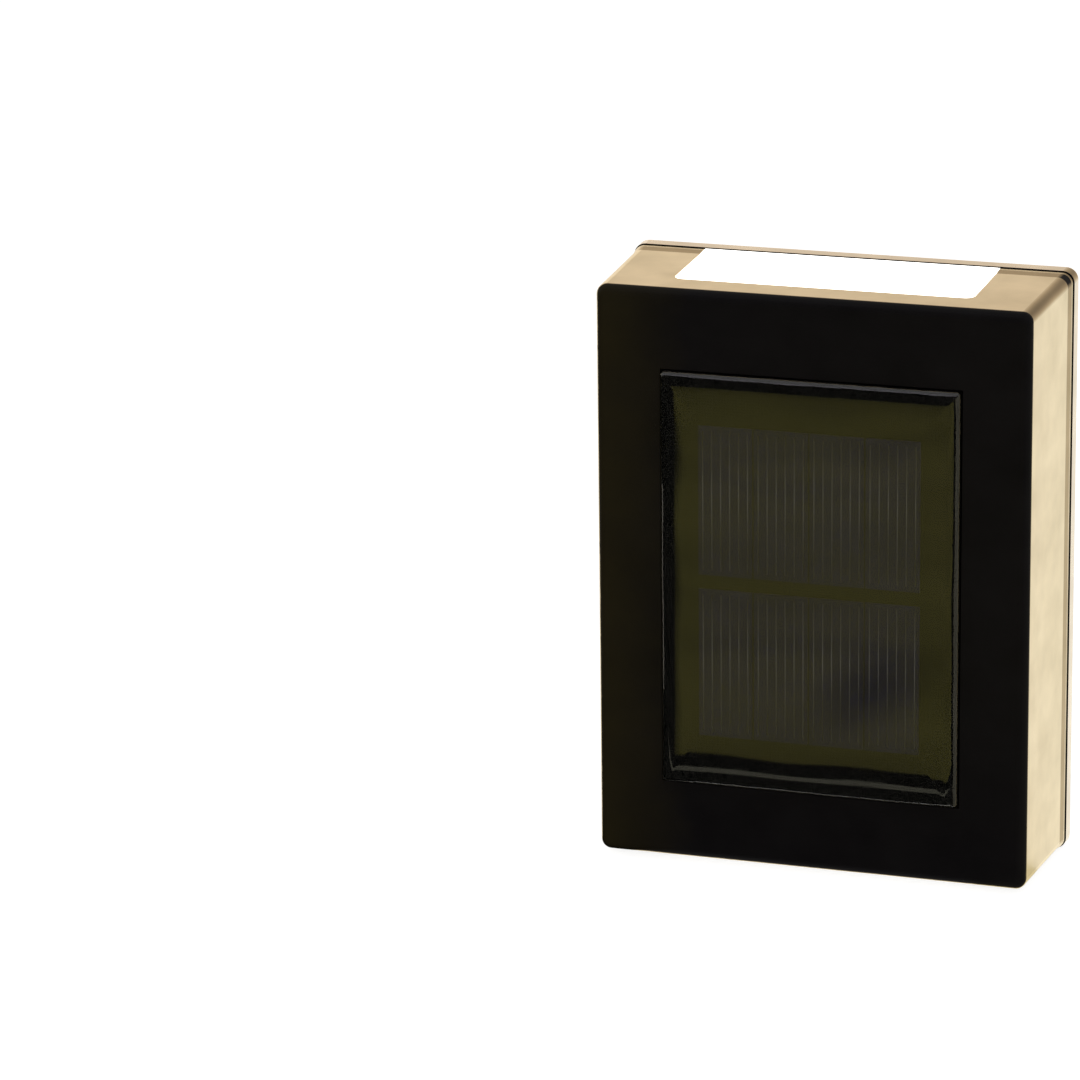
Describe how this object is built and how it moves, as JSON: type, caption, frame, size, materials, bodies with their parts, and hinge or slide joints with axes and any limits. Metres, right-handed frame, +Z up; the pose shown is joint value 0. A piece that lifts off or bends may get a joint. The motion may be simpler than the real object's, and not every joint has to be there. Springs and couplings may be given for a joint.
{
  "type": "solar fence light",
  "caption": "Slim rectangular solar wall light with a resin-covered panel on its face, lit windows in its top and bottom, keyholes and a power button behind.",
  "frame": {"origin": "centre of the flat rear face, which lies against the fence", "axes": "+Z up, +Y back into the fence, -Y towards the viewer of the solar panel, +X to that viewer's right"},
  "size_m": [0.0828, 0.0329, 0.1096],
  "materials": {
    "black_abs": "satin black ABS moulding",
    "button_abs": "black ABS",
    "silicone": "soft silicone",
    "screw_steel": "zinc-plated steel",
    "lens_white": "milky diffusing acrylic, lit from inside",
    "tray_white": "white reflector moulding",
    "led_board_white": "white solder mask",
    "led_phosphor": "warm white LED packages",
    "foam_tape": "double-sided foam tape",
    "panel_board_black": "black solder mask with an olive cast",
    "silicon": "dark blue-grey silicon with fine grid fingers",
    "resin_clear": "clear cast epoxy",
    "battery_sleeve": "printed film over a steel can, bare of text",
    "nickel_steel": "nickel-plated spring steel",
    "board_green": "green circuit board",
    "chip_black": "moulded component package",
    "capacitor_can": "aluminium can",
    "switch_black": "switch case",
    "switch_white": "switch plunger",
    "lead_red": "insulated wire",
    "lead_white": "insulated wire"
  },
  "bodies": {
    "light": {"front_housing": "black_abs", "rear_cover": "black_abs", "cover_seal": "silicone", "upper_lens_seal": "silicone", "lower_lens_seal": "silicone", "cover_screws": "screw_steel", "board_screws": "screw_steel", "upper_lens": "lens_white", "lower_lens": "lens_white", "upper_light_tray": "tray_white", "lower_light_tray": "tray_white", "upper_led_board": "led_board_white", "lower_led_board": "led_board_white", "upper_leds": "led_phosphor", "lower_leds": "led_phosphor", "panel_adhesive": "foam_tape", "holder_pad": "foam_tape", "panel_board": "panel_board_black", "solar_cells": "silicon", "panel_resin": "resin_clear", "battery": "battery_sleeve", "battery_holder": "black_abs", "positive_contact": "nickel_steel", "negative_contact": "nickel_steel", "negative_spring": "nickel_steel", "control_board": "board_green", "charge_controller": "chip_black", "storage_inductor": "chip_black", "capacitor": "capacitor_can", "power_switch": "switch_black", "panel_leads": "lead_red", "battery_leads": "lead_red", "upper_led_leads": "lead_white", "lower_led_leads": "lead_white"},
    "button": {"power_button": "button_abs", "button_seal": "silicone", "switch_plunger": "switch_white"}
  },
  "joints": [
    {"name": "button_press", "type": "slide", "parent": "light", "child": "button", "axis": [0, -1, 0], "range_m": [0, 0.0012], "stiffness_N_per_m": 400, "springref_m": -0.001}
  ]
}
